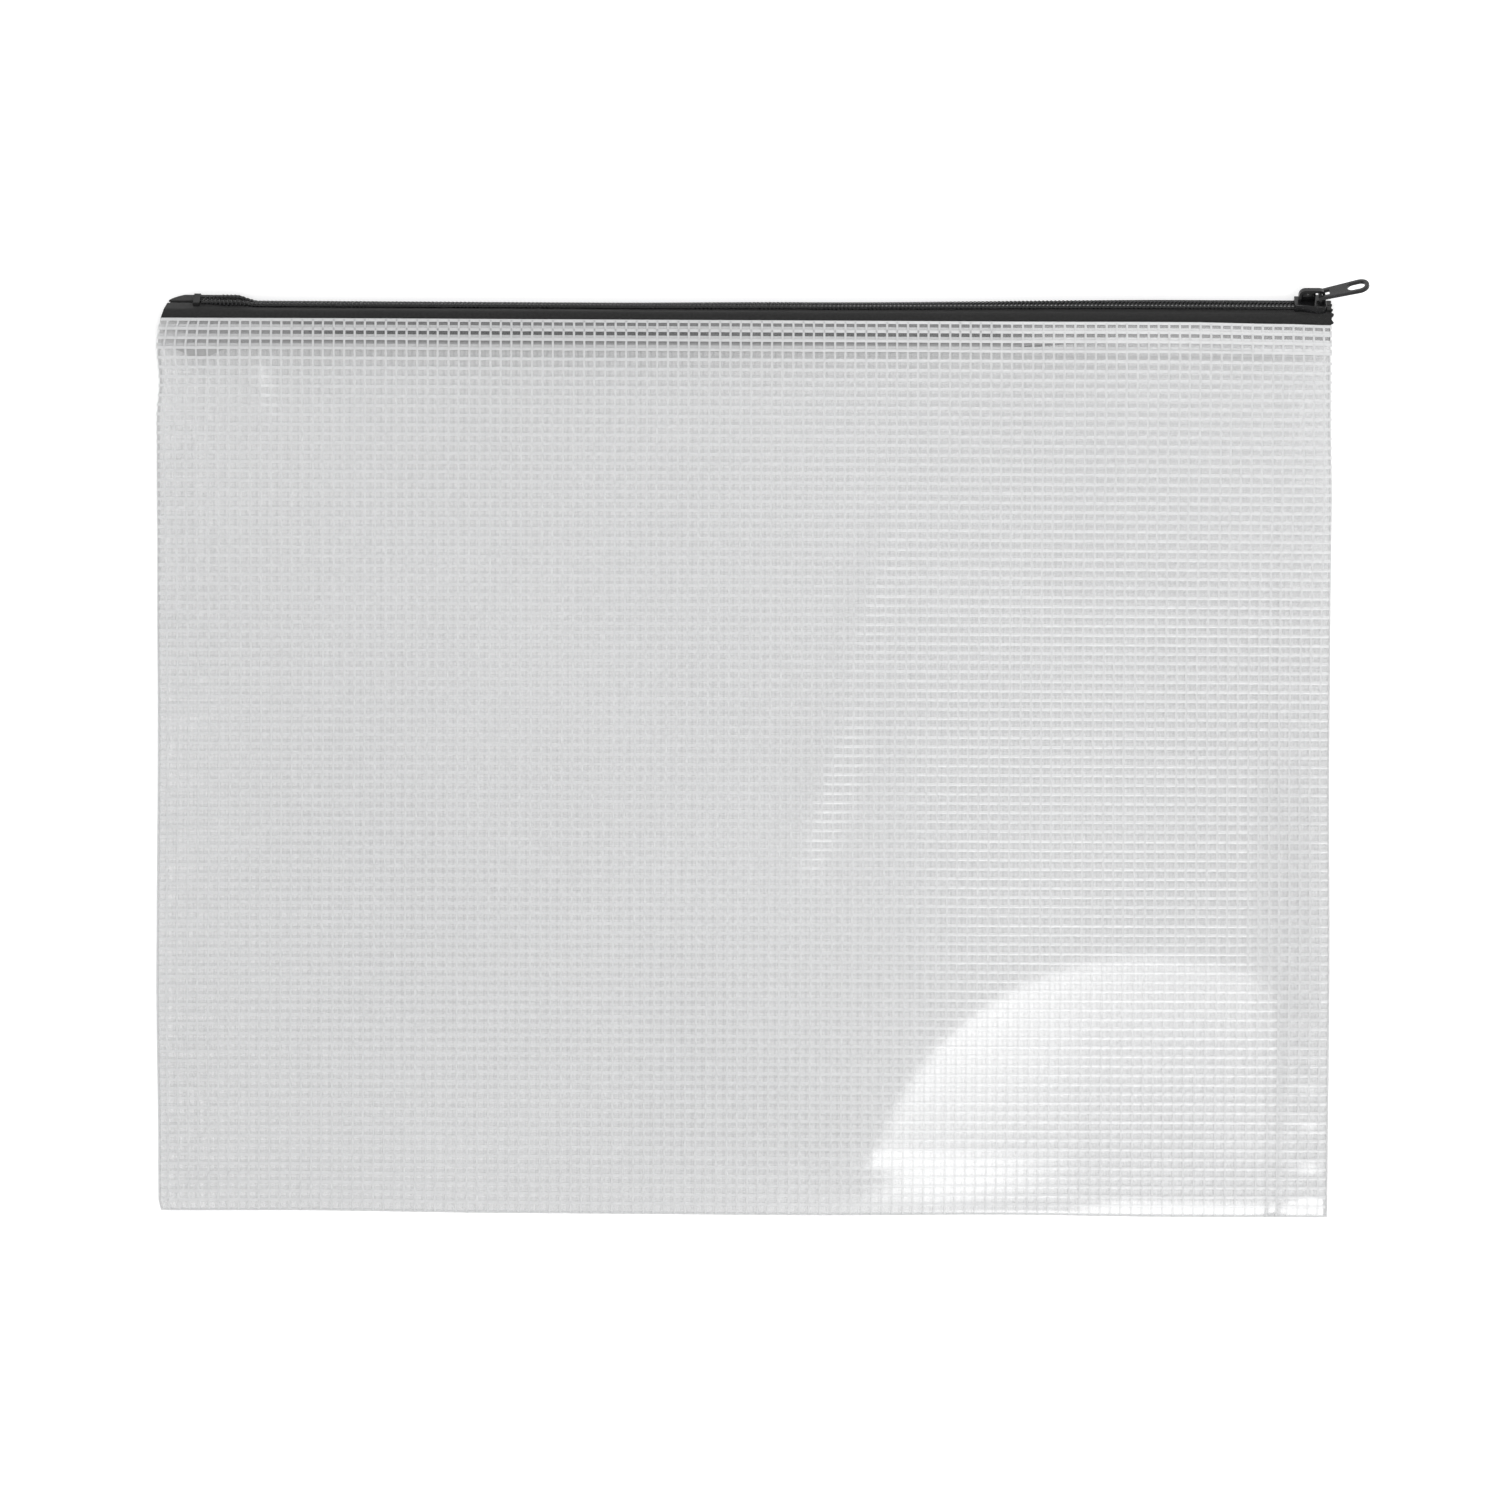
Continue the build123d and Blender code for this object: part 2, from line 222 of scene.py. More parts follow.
def strands(lines, side, rise, section):
    """Tubes along many lines at once: each ring is the section laid out on the side and rise directions."""
    count, rings, _ = lines.shape
    sides = len(section)
    reach = section[:, 0, None] * side[..., None, :] + section[:, 1, None] * rise[..., None, :]
    points = lines[:, :, None, :] + reach
    faces = tube_faces(rings, sides)[None] + (np.arange(count) * rings * sides)[:, None, None]
    return points.reshape(-1, 3), faces.reshape(-1, 4)


def flat_thread(width, height):
    """Section of a thread pressed flat: six points, with a broad top and bottom and thin sides."""
    half = np.array([(0.5, 0.0), (0.4, 0.5), (-0.4, 0.5)])
    return np.concatenate([half, -half]) * (width, height)


# Film


def settle(x, y):
    """Where a point of the flat outline comes to lie: each edge wanders a little, which fades inwards."""
    left = stations(
        [(-134, 1.6), (-131, 0.8), (-122, 0.7), (-60, -0.2), (0, -0.1), (60, -0.5), (95, -0.8), (104, -0.9),
         (115, -0.1), (125, -0.9), (130, -0.3), (134, 0.6)], y)
    right = stations([(-134, 0.0), (-60, 0.3), (0, -0.1), (50, 0.0), (80, 0.2), (110, -0.3), (134, -0.5)], y)
    foot = stations([(-175, 0.3), (-130, 0.5), (-70, 0.0), (20, -0.2), (80, 0.3), (130, -0.1), (175, 0.0)], x)
    head = stations([(-175, 0.2), (-110, 0.3), (60, 0.35), (130, 0.4), (160, 0.0), (175, -0.3)], x)
    near_left = ease(-x, HALF_WIDTH - SIDE_FADE, HALF_WIDTH)
    near_right = ease(x, HALF_WIDTH - SIDE_FADE, HALF_WIDTH)
    near_foot = ease(-y, -BOTTOM_Y - END_FADE, -BOTTOM_Y)
    near_head = ease(y, MOUTH_Y - END_FADE, MOUTH_Y)
    return x + left * near_left + right * near_right, y + foot * near_foot + head * near_head


def swell(x, y):
    """Soft folds of the front film: faint long waves, two leaning creases and a fold at the low right corner.

    The corner fold rises along a circle, as a bell outside it and as a falling parabola inside.
    """
    wave = 0.22 * np.sin(x / 31 + y / 57 + 0.6) + 0.2 * np.sin(x / 47 - y / 26 + 2.0)
    lean = x - 21 + 0.29 * (-10 - y)
    crease = 0.9 * hump(lean, 0, 7) * hump(y, -10, 22) + 0.7 * hump(lean + 2, 0, 6) * hump(y, 57, 18)
    inside = CORNER_FOLD_RADIUS - np.hypot(x - CORNER_FOLD_X, y - CORNER_FOLD_Y)
    outer_slope = CORNER_FOLD_HEIGHT * hump(inside, 0, CORNER_FOLD_SPREAD)
    depth = np.clip(inside, 0, CORNER_FOLD_SPREAD)
    inner_slope = CORNER_FOLD_HEIGHT - CORNER_FOLD_SLOPE * depth + CORNER_FOLD_CURVE * depth ** 2
    return wave + crease + np.where(inside < 0, outer_slope, inner_slope)


def front_height(x, y):
    """Top of the front film: it leaves the seams, crowns over the pocket and is drawn up to the zip.

    Near the closed end the doubled hem stands up in a roll of its own, the right seam is puckered, the low
    right edge has a lip and the top left corner a short crease.
    """
    side = ease(HALF_WIDTH - np.abs(x), 0, 130)
    foot = ease(y - BOTTOM_Y, 0, 150)
    slack = ease(HALF_WIDTH - np.abs(x), 0, 25) * ease(y - BOTTOM_Y, 0, 20) * ease(MOUTH_Y - y, 8, 40)
    crown = RIM_TOP + (CROWN_TOP - RIM_TOP) * side * foot + swell(x, y) * slack
    mouth = ease(y, 5, MOUTH_Y - 4)
    crest = MOUTH_Y - HEM_ROLL_DEPTH - 1.2 * ease(x, 140, 168) + 0.5 * np.sin(x / 8) * np.cos(x / 17)
    roll = HEM_ROLL * hump(y, crest, HEM_ROLL_SPREAD) * ease(x, 75, 112)
    seam_edge = HALF_WIDTH - SEAM_WIDTH
    low_right = ease(-y, 40, 90)
    ridge = 0.35 * hump(x, seam_edge, 1.6) * low_right
    pucker = 0.15 * np.sin(y / 1.7 + 0.8 * np.sin(y / 7)) * hump(x, HALF_WIDTH - 5, 4) * low_right
    lip = 0.4 * ease(y - BOTTOM_Y, 0.5, 4.5) * ease(x, 95, 115)
    corner_crease = 1.1 * hump(x + 0.2 * (y - 112), -146, 4.2) * hump(y, 112, 11)
    return crown + (MOUTH_TOP - crown) * mouth + roll + ridge + pucker + lip + corner_crease


def front_surface(x, y):
    """Middle of the front film at a point of its flat outline."""
    lain_x, lain_y = settle(x, y)
    return np.stack([lain_x, lain_y, front_height(x, y) - FILM / 2], axis=-1)


def hem_surface(x, depth):
    """Middle of the turned-in hem at a depth below the mouth: it follows the front film from underneath."""
    return front_surface(x, MOUTH_Y - HEM_FOLD - FILM / 2 - depth) - (0, 0, 2 * HEM_FOLD)


def edge_spacing(low, high, count, bunch):
    """Places from low to high that gather towards both ends: a line mixed with a cosine."""
    share = np.linspace(0, 1, count)
    return low + (high - low) * ((1 - bunch) * share + bunch * (1 - np.cos(np.pi * share)) / 2)


def front_sheet(columns):
    """The whole front film over the given x places, from under the bottom fold up to the turned-in hem.

    Rows go round the fold on a half circle, over the height field, round the mouth and down the hem.
    """
    turn = np.linspace(-np.pi / 2, np.pi / 2, 7)[:-1]
    fold_radius = (RIM_TOP - FILM) / 2
    x, angle = np.meshgrid(columns, turn)
    fold_x, fold_y = settle(x, x * 0 + BOTTOM_Y)
    fold_drop = fold_y - BOTTOM_Y
    fold = np.stack([fold_x, FOLD_Y + fold_drop - fold_radius * np.cos(angle),
                     RIM_TOP / 2 + fold_radius * np.sin(angle)], axis=-1)
    x, y = np.meshgrid(columns, edge_spacing(FOLD_Y, MOUTH_Y - HEM_FOLD - FILM / 2, 118, 0.55))
    face = front_surface(x, y)
    last = face[-1:]
    mouth_turn = np.linspace(np.pi / 2, -np.pi / 2, 6)[1:, None]
    mouth = last + HEM_FOLD * np.stack(
        [0 * mouth_turn, np.cos(mouth_turn), np.sin(mouth_turn) - 1], axis=-1)
    x, depth = np.meshgrid(columns, np.linspace(0, HEM_DEPTH - HEM_FOLD, 9)[1:])
    return np.concatenate([fold, face, mouth, hem_surface(x, depth)])


def back_sheet(columns):
    """The back film over the given x places, flat on the table, with its hem turned in over its top edge."""
    x, y = np.meshgrid(columns, edge_spacing(FOLD_Y, MOUTH_Y - HEM_FOLD - FILM / 2, 60, 0.4))
    lain_x, lain_y = settle(x, y)
    face = np.stack([lain_x, lain_y, 0 * x + FILM / 2], axis=-1)
    mouth_turn = np.linspace(-np.pi / 2, np.pi / 2, 6)[1:, None]
    mouth = face[-1:] + HEM_FOLD * np.stack(
        [0 * mouth_turn, np.cos(mouth_turn), np.sin(mouth_turn) + 1], axis=-1)
    depth = np.linspace(0, HEM_DEPTH - HEM_FOLD, 5)[1:, None]
    hem = mouth[-1:] + np.stack([0 * depth, -depth, 0 * depth], axis=-1)
    return np.concatenate([face, mouth, hem])


def seam_sheet(side):
    """A side edge: it bows down from the front film's edge to the back film and turns in as the margin."""
    y = edge_spacing(FOLD_Y, MOUTH_Y - 1.0, 90, 0.4)
    top = front_surface(side * HALF_WIDTH + 0 * y, y)[:, None, :]
    floor_z = FILM * 2
    fall = np.linspace(0, 1, 7)[None, :]
    bow = SEAM_BOW * np.sin(np.pi * fall)
    drop_z = top[..., 2] + (floor_z - top[..., 2]) * fall
    drop = np.stack([top[..., 0] + side * bow, top[..., 1] + 0 * fall, drop_z], axis=-1)
    width = 0.5 + (SEAM_WIDTH - 0.5) * (1 - ease(y, SEAM_TOP_Y - 7, SEAM_TOP_Y - 1))[:, None]
    across = np.linspace(0, 1, 9)[None, 1:]
    margin_x = top[..., 0] - side * width * across
    margin = np.stack([margin_x, top[..., 1] + 0 * across, floor_z + 0 * margin_x], axis=-1)
    return np.concatenate([drop, margin], axis=1)


def edge_line():
    """Middle of the welded edge, near the table: down the left side, along the fold and up the right side."""
    reach = HALF_WIDTH + 0.15
    foot_y = FOLD_Y - 0.3
    down = np.linspace(MOUTH_Y - 1.0, foot_y, 90)
    along = np.linspace(-reach, reach, 120)[1:-1]
    x = np.concatenate([0 * down - reach, along, 0 * down + reach])
    y = np.concatenate([down, 0 * along + foot_y, down[::-1]])
    lain_x, lain_y = settle(x, y)
    return np.stack([lain_x, lain_y, 0 * x + RIM_TOP / 2], axis=-1)


def thread_places(start, pitch, low, high):
    """Places of parallel threads from low to high, whole pitches from a start, each straying a little."""
    places = start + pitch * np.arange(np.ceil((low - start) / pitch), np.floor((high - start) / pitch) + 1)
    return places + chance.normal(0, THREAD_STRAY, len(places))


def lay_threads(name, lines, across, width, finish):
    """A piece of flat threads along many lines, each with its breadth along across and square to its line."""
    side = np.broadcast_to(np.array(across, float), lines.shape)
    heading = np.gradient(lines, axis=1)
    heading /= np.linalg.norm(heading, axis=-1, keepdims=True)
    points, faces = strands(lines, side, np.cross(side, heading), flat_thread(width, THREAD_HEIGHT))
    make_piece(name, "pouch", finish, points, faces, smooth=False)


# Zip


def zip_tilt(x):
    """Tilt of the zip face along the zip: as in the slider near both ends, and turned over between them."""
    turned_x = OPEN_END_X + ZIP_TURNING
    degrees = stations(
        [(OPEN_END_X, SLIDER_TILT), (turned_x, 22), (-60, 20), (17, 28), (130, SLIDER_TILT)], x)
    return np.radians(degrees)


def chain_middle(x):
    """Middle of the closed teeth at x, as (y, z): between the ends the zip hangs back a little.

    Its height is such that both tapes run straight for one length before they bend towards their flaps.
    """
    tilt = zip_tilt(x)
    turned_x = OPEN_END_X + ZIP_TURNING
    set_back = stations([(OPEN_END_X, 0), (turned_x, 1.3), (-40, 1.3), (17, 1.0), (130, 0)], x)
    y = CHAIN_Y - set_back
    z = (FRONT_RUN_Z + BACK_RUN_Z - FRONT_BEND * (1 - np.sin(tilt)) + BACK_BEND * (1 + np.sin(tilt))) / 2
    return y, z


def zip_place(x, across, level):
    """Points of the zip at x, a distance across it towards the front tape and a level out of its face."""
    tilt = zip_tilt(x)
    y, z = chain_middle(x)
    y = y - across * np.sin(tilt) + level * np.cos(tilt)
    z = z + across * np.cos(tilt) + level * np.sin(tilt)
    return np.stack(np.broadcast_arrays(x, y, z), axis=-1)


def tape_path(side, x, share, end_y):
    """Middle line of a tape in the (y, z) plane at x, with the length run along it.

    It goes straight from the teeth, turns on an arc until it points at the bottom of the pouch, and ends
    at end_y.
    """
    tilt = zip_tilt(x)
    bend = FRONT_BEND if side > 0 else BACK_BEND
    turn = np.pi / 2 - tilt if side > 0 else -np.pi / 2 - tilt
    rise = FRONT_RUN_Z - BACK_RUN_Z - FRONT_BEND * (1 - np.sin(tilt)) - BACK_BEND * (1 + np.sin(tilt))
    reach = rise / (2 * np.cos(tilt))
    straight = reach - TAPE_GAP / 2
    arc = bend * np.abs(turn)
    start = zip_place(x, side * TAPE_GAP / 2, 0.0)
    bend_y = chain_middle(x)[0] - side * np.sin(tilt) * reach - bend * np.cos(tilt)
    run = share * (straight + arc + bend_y - end_y)
    heading = tilt + side * np.pi / 2 + turn * np.clip((run - straight) / arc, 0, 1)
    middle = (heading[..., 1:] + heading[..., :-1]) / 2
    step = np.diff(run, axis=-1)
    zero = 0 * run[..., :1]
    y = start[..., 1] + np.concatenate([zero, np.cumsum(np.cos(middle) * step, axis=-1)], axis=-1)
    z = start[..., 2] + np.concatenate([zero, np.cumsum(np.sin(middle) * step, axis=-1)], axis=-1)
    return y, z, run


def tape_sheet(side):
    """A woven tape: its path carried along the zip, with a slanting round left end and a lobed right end.

    Given with it are its flat coordinates and a painted haze: how much paler its hidden part is drawn, most
    at the selvedge, near the mouth and at the left end, standing in for light that the frosted film scatters
    over it.
    """
    share = np.linspace(0, 1, 72)[None, :]
    x = edge_spacing(-ZIP_HALF, ZIP_HALF, 260, 0.75)[:, None]
    dip = TAPE_DIP * (hump(x, -163, 6) * (side > 0) - ease(x, 60, 110))
    y, z, run = tape_path(side, x, share, TAPE_END_Y - dip)
    out = np.maximum(y - MOUTH_Y, 0)
    near_left = ease(-x, ZIP_HALF - 14, ZIP_HALF)
    near_right = ease(x, ZIP_HALF - 10, ZIP_HALF)
    slant = 0.36 * out + 0.8 * np.maximum(out - 5.2, 0) ** 2
    shown = ease(y, MOUTH_Y - 0.6, MOUTH_Y + 0.4)
    lobes = shown * (0.75 + 0.35 * np.sin(2 * np.pi * run / LOBE_PITCH + side)) - TAPE_INSET
    lain_x = x + slant * near_left + lobes * near_right
    hidden = y < MOUTH_Y - 0.3
    # Painted haze: the hidden tape is drawn paler where light scattered by the frosted film over it would
    # grey it
    selvedge = ease(-y, -TAPE_END_Y - 3.6, -TAPE_END_Y - 0.2)
    near_end = 0.7 * ease(-x, 115, 150) + 0.6 * ease(-x, 165, 172)
    painted_haze = hidden * np.maximum(selvedge + 0.3 * hump(y, MOUTH_Y - 1.2, 1.0), near_end)
    return np.stack([lain_x, y, z], axis=-1), np.stack([lain_x, run], axis=-1), painted_haze


def coil_line(side):
    """Middle of the coil's wire: a flattened helix whose heads reach past the middle of the zip.

    The rows stand apart in the slider, and where its post comes to stop at the open end.
    """
    inner = -COIL_REACH + COIL_WIRE / 2
    outer = COIL_OUTER - COIL_WIRE / 2
    first_head = COIL_START + (0.25 if side > 0 else 0.75) * COIL_PITCH + COIL_WIRE / 2
    turns = np.floor((COIL_END - first_head - COIL_WIRE / 2) / COIL_PITCH)
    angle = 2 * np.pi * np.arange(-0.2, turns + 0.2, 1 / COIL_TURN_POINTS)
    x = first_head + angle / (2 * np.pi) * COIL_PITCH
    closed_end = np.clip((x - FLARE_X) / (SHOULDER_X - FLARE_X), 0, 1)
    open_end = np.clip((x + SLIDER_TRAVEL - FLARE_X) / (SHOULDER_X - FLARE_X), 0, 1)
    closing = ease(x, OPEN_END_X, OPEN_END_X + COIL_CLOSING)
    spread = COIL_SPREAD * (closed_end + open_end * (1 - closing))
    across = (inner + outer) / 2 - (outer - inner) / 2 * np.cos(angle) + spread
    level = CORD_LEVEL + (COIL_HEIGHT - COIL_WIRE) / 2 * np.sin(angle)
    return zip_place(x, side * across, level)


def wire_tube(line, radius, sides):
    """Round tube along a line: rings stand square to the line, turned by the zip's outward direction."""
    heading = np.gradient(line, axis=0)
    heading /= np.linalg.norm(heading, axis=1, keepdims=True)
    outward = zip_place(line[:, 0], 0.0, 1.0) - zip_place(line[:, 0], 0.0, 0.0)
    side = np.cross(heading, outward)
    side /= np.linalg.norm(side, axis=1, keepdims=True)
    rise = np.cross(side, heading)
    angle = np.arange(sides) * 2 * np.pi / sides
    section = radius * np.stack([np.cos(angle), np.sin(angle)], axis=-1)
    return strands(line[None], side[None], rise[None], section)


def stitch_line(side, place, phase, proud):
    """A sewing thread along the coil: it rises over each turn of wire and sinks between two turns.

    Towards the closed end it stands proud, by as much as proud says. With the line comes a painted glint:
    how much paler the thread is drawn, most where it is proud and rises over a turn, where it would catch
    light.
    """
    x = np.arange(COIL_START + 0.3, CORD_END, COIL_PITCH / 8)
    angle = 2 * np.pi * (x - COIL_START) / COIL_PITCH + phase
    across = place + STITCH_SWAY * np.sin(angle)
    stand = proud * ease(x, -5, 45)
    coil_top = CORD_LEVEL + COIL_HEIGHT / 2
    level = coil_top - STITCH_SINK + STITCH_STAND * stand + STITCH_SWAY * np.cos(angle)
    return zip_place(x, side * across, level), stand * np.maximum(np.cos(angle), 0) ** 2


def core_cord(side):
    """Filler cord inside the coil: a ring with three lobes that turns once every few millimetres along x."""
    x = np.linspace(COIL_START, CORD_END, CORD_RINGS)[:, None]
    angle = np.arange(CORD_SIDES)[None, :] * 2 * np.pi / CORD_SIDES
    radius = CORD_RADIUS * (1 + CORD_LOBE * np.cos(3 * angle - 2 * np.pi * x / CORD_LAY))
    middle = side * (CORD_INNER + COIL_OUTER) / 2
    across = middle + radius * np.cos(angle)
    level = CORD_LEVEL + radius * np.sin(angle) * side
    return zip_place(x, across, level), tube_faces(CORD_RINGS, CORD_SIDES)


# Finishes


def new_finish(name, colour, **constants):
    """A node material with one Principled shader; constants go straight onto its sockets."""
    finish = bpy.data.materials.new(name)
    finish.use_nodes = True
    shader = finish.node_tree.nodes["Principled BSDF"]
    shader.inputs["Base Color"].default_value = (*colour, 1.0)
    for socket, value in constants.items():
        shader.inputs[socket.replace("_", " ")].default_value = value
    return finish, finish.node_tree, shader


def add_node(tree, kind, links=(), **values):
    """A shader node with some inputs linked from other outputs and some set to plain values."""
    made = tree.nodes.new(kind)
    for name, value in values.items():
        setattr(made, name, value)
    for socket, source in dict(links).items():
        if hasattr(source, "is_linked"):
            tree.links.new(source, made.inputs[socket])
        else:
            made.inputs[socket].default_value = source
    return made


def noise(tree, where, scale, detail=3.0, stretch=(1, 1, 1)):
    """Noise of a given scale per metre on a coordinate, stretched along its axes."""
    mapped = add_node(tree, "ShaderNodeMapping", {"Vector": where, "Scale": stretch})
    links = {"Vector": mapped.outputs[0], "Scale": scale, "Detail": detail}
    return add_node(tree, "ShaderNodeTexNoise", links).outputs["Fac"]


def span(tree, value, low, high, start=0.3, end=0.7):
    """A value from start to end turned into one from low to high."""
    links = {"Value": value, "From Min": start, "From Max": end, "To Min": low, "To Max": high}
    return add_node(tree, "ShaderNodeMapRange", links).outputs[0]


def blend_colours(tree, value, dark, light, start=0.3, end=0.7):
    """Colour that goes from dark to light with a value."""
    ramp = add_node(tree, "ShaderNodeValToRGB", {"Fac": value})
    ramp.color_ramp.elements[0].position = start
    ramp.color_ramp.elements[1].position = end
    ramp.color_ramp.elements[0].color = (*dark, 1.0)
    ramp.color_ramp.elements[1].color = (*light, 1.0)
    return ramp.outputs["Color"]


def add_bump(tree, height, strength, distance, before=None):
    """Bump of a height in millimetres, laid over an earlier one."""
    links = {"Height": height, "Strength": strength, "Distance": distance * MM}
    if before is not None:
        links["Normal"] = before
    return add_node(tree, "ShaderNodeBump", links).outputs["Normal"]


def worked(tree, operation, first, second):
    """Two values joined by a math operation."""
    return add_node(tree, "ShaderNodeMath", {0: first, 1: second}, operation=operation).outputs[0]


def ridge_rows(tree, along, start, pitch, height, before=None):
    """Bump of narrow ridges, one on each thread: a high power of a cosine of the place along one axis."""
    past = worked(tree, "SUBTRACT", along, start * MM)
    turned = worked(tree, "MULTIPLY", past, np.pi / (pitch * MM))
    row = add_node(tree, "ShaderNodeMath", {0: turned}, operation="COSINE").outputs[0]
    ridge = worked(tree, "POWER", worked(tree, "MULTIPLY", row, row), 6.0)
    return add_bump(tree, ridge, 1.0, height, before)


def film_finish(name, dark, light, alpha):
    """Frosted film: clouded tone, uneven gloss, and the threads standing up in soft rows as bump."""
    finish, tree, shader = new_finish(
        name, dark, Alpha=alpha, IOR=2.0, Coat_Weight=1.0, Coat_Roughness=0.18, Coat_IOR=2.6)
    where = add_node(tree, "ShaderNodeTexCoord").outputs["Object"]
    clouds = noise(tree, where, 14.0)
    tree.links.new(blend_colours(tree, clouds, dark, light), shader.inputs["Base Color"])
    tree.links.new(span(tree, noise(tree, where, 60.0), 0.14, 0.22), shader.inputs["Roughness"])
    apart = add_node(tree, "ShaderNodeSeparateXYZ", {0: where})
    across = ridge_rows(tree, apart.outputs["Y"], WEFT_START, WEFT_PITCH, 0.06)
    both = ridge_rows(tree, apart.outputs["X"], WARP_START, WARP_PITCH, 0.008, across)
    tree.links.new(both, shader.inputs["Normal"])
    return finish


def thread_finish(name, dark, light, alpha, gloss=0.0):
    """Pale twisted yarn in the film: fine streaks of tone, and where gloss is given a coat that glints."""
    finish, tree, shader = new_finish(
        name, light, Alpha=alpha, Roughness=0.55, Coat_Weight=gloss, Coat_Roughness=0.16)
    where = add_node(tree, "ShaderNodeTexCoord").outputs["Object"]
    tree.links.new(blend_colours(tree, noise(tree, where, 500.0), dark, light), shader.inputs["Base Color"])
    normal = add_bump(tree, noise(tree, where, 2500.0, 2.0), 0.15, 0.04)
    tree.links.new(normal, shader.inputs["Normal"])
    if gloss:
        apart = add_node(tree, "ShaderNodeSeparateXYZ", {0: where})
        glint = ridge_rows(tree, apart.outputs["Y"], WEFT_START, WEFT_PITCH, 0.09)
        tree.links.new(glint, shader.inputs["Coat Normal"])
    return finish


def tape_finish():
    """Black woven polyester: ribs along the tape, picks across it, soft sheen, and a painted haze that draws
    the hidden part paler, most at the selvedge.
    """
    finish, tree, shader = new_finish(
        "tape_weave", (0.02, 0.02, 0.02), Roughness=0.8, Sheen_Weight=0.15, Sheen_Roughness=0.4)
    where = add_node(tree, "ShaderNodeTexCoord").outputs["UV"]
    apart = add_node(tree, "ShaderNodeSeparateXYZ", {0: where})
    waves = []
    for axis, pitch in ((0, 0.55), (1, 0.75)):
        turned = worked(tree, "MULTIPLY", apart.outputs[axis], 2 * np.pi / (pitch * MM))
        waves.append(add_node(tree, "ShaderNodeMath", {0: turned}, operation="SINE").outputs[0])
    weave = worked(tree, "MULTIPLY", waves[0], waves[1])
    painted_haze = add_node(tree, "ShaderNodeAttribute", attribute_name="shade").outputs["Fac"]
    speckle = noise(tree, where, 1500.0)
    tone = span(tree, speckle, 0.003, 0.012)
    # Painted haze lifts the tone of the hidden tape
    lifted = worked(tree, "ADD", tone, worked(tree, "MULTIPLY", painted_haze, 0.4))
    colour = add_node(tree, "ShaderNodeCombineColor", {0: lifted, 1: lifted, 2: lifted}).outputs[0]
    tree.links.new(colour, shader.inputs["Base Color"])
    normal = add_bump(tree, weave, 0.7, 0.12)
    normal = add_bump(tree, speckle, 0.4, 0.06, normal)
    tree.links.new(normal, shader.inputs["Normal"])
    return finish


def nylon_finish():
    """Black nylon wire: glossy, with faint drawing marks along the zip."""
    finish, tree, shader = new_finish("coil_nylon", (0.008, 0.008, 0.009), Specular_IOR_Level=0.4)
    where = add_node(tree, "ShaderNodeTexCoord").outputs["Object"]
    streaks = noise(tree, where, 700.0, 2.0, (0.3, 1, 1))
    colour = blend_colours(tree, streaks, (0.005, 0.005, 0.006), (0.012, 0.012, 0.013))
    tree.links.new(colour, shader.inputs["Base Color"])
    tree.links.new(span(tree, streaks, 0.22, 0.36), shader.inputs["Roughness"])
    return finish


def sewing_finish():
    """Black polyester sewing thread with a slanting twist, and a painted glint: drawn paler where it stands
    proud.
    """
    finish, tree, shader = new_finish("sewing_thread", (0.02, 0.02, 0.02), Roughness=0.6, Sheen_Weight=0.1)
    where = add_node(tree, "ShaderNodeTexCoord").outputs["Object"]
    twist = noise(tree, where, 2200.0, 2.0, (1, 0.5, 0.5))
    painted_glint = add_node(tree, "ShaderNodeAttribute", attribute_name="shade").outputs["Fac"]
    glint_tone = worked(tree, "MULTIPLY", painted_glint, span(tree, twist, 0.20, 0.34))
    tone = worked(tree, "ADD", span(tree, twist, 0.008, 0.022), glint_tone)
    colour = add_node(tree, "ShaderNodeCombineColor", {0: tone, 1: tone, 2: tone}).outputs[0]
    tree.links.new(colour, shader.inputs["Base Color"])
    tree.links.new(add_bump(tree, twist, 0.5, 0.05), shader.inputs["Normal"])
    return finish


def lacquer_finish(name, dark, light, gloss):
    """Black lacquer over die-cast metal: slight orange peel, clouded tone and uneven gloss."""
    finish, tree, shader = new_finish(name, dark, Specular_IOR_Level=0.28)
    where = add_node(tree, "ShaderNodeTexCoord").outputs["Object"]
    tree.links.new(blend_colours(tree, noise(tree, where, 240.0), dark, light), shader.inputs["Base Color"])
    tree.links.new(span(tree, noise(tree, where, 420.0), gloss, gloss + 0.14), shader.inputs["Roughness"])
    tree.links.new(add_bump(tree, noise(tree, where, 1600.0, 1.5), 0.2, 0.04), shader.inputs["Normal"])
    return finish


front_film_finish = film_finish("front_film_frost", (0.42, 0.424, 0.43), (0.48, 0.484, 0.49), 0.075)
back_film_finish = film_finish("back_film_frost", (0.29, 0.296, 0.308), (0.35, 0.356, 0.368), 0.21)
seam_film_finish = film_finish("seam_film_frost", (0.50, 0.504, 0.51), (0.56, 0.564, 0.57), 0.03)
weft_finish = thread_finish("weft_yarn", (0.68, 0.684, 0.69), (0.73, 0.734, 0.74), 0.70, 0.8)
warp_finish = thread_finish("warp_yarn", (0.68, 0.684, 0.69), (0.73, 0.734, 0.74), 0.60)
back_yarn = thread_finish("back_yarn", (0.86, 0.864, 0.87), (0.92, 0.924, 0.93), 0.06)
weld_finish = thread_finish("edge_weld_film", (0.58, 0.584, 0.59), (0.62, 0.624, 0.63), 0.6)
tape_weave = tape_finish()
coil_nylon = nylon_finish()
sewing_thread = sewing_finish()
slider_lacquer = lacquer_finish("slider_lacquer", (0.004, 0.004, 0.004), (0.010, 0.010, 0.011), 0.16)
pull_lacquer = lacquer_finish("pull_lacquer", (0.012, 0.012, 0.012), (0.022, 0.022, 0.023), 0.2)
stop_lacquer = lacquer_finish("stop_lacquer", (0.004, 0.004, 0.004), (0.008, 0.008, 0.008), 0.4)

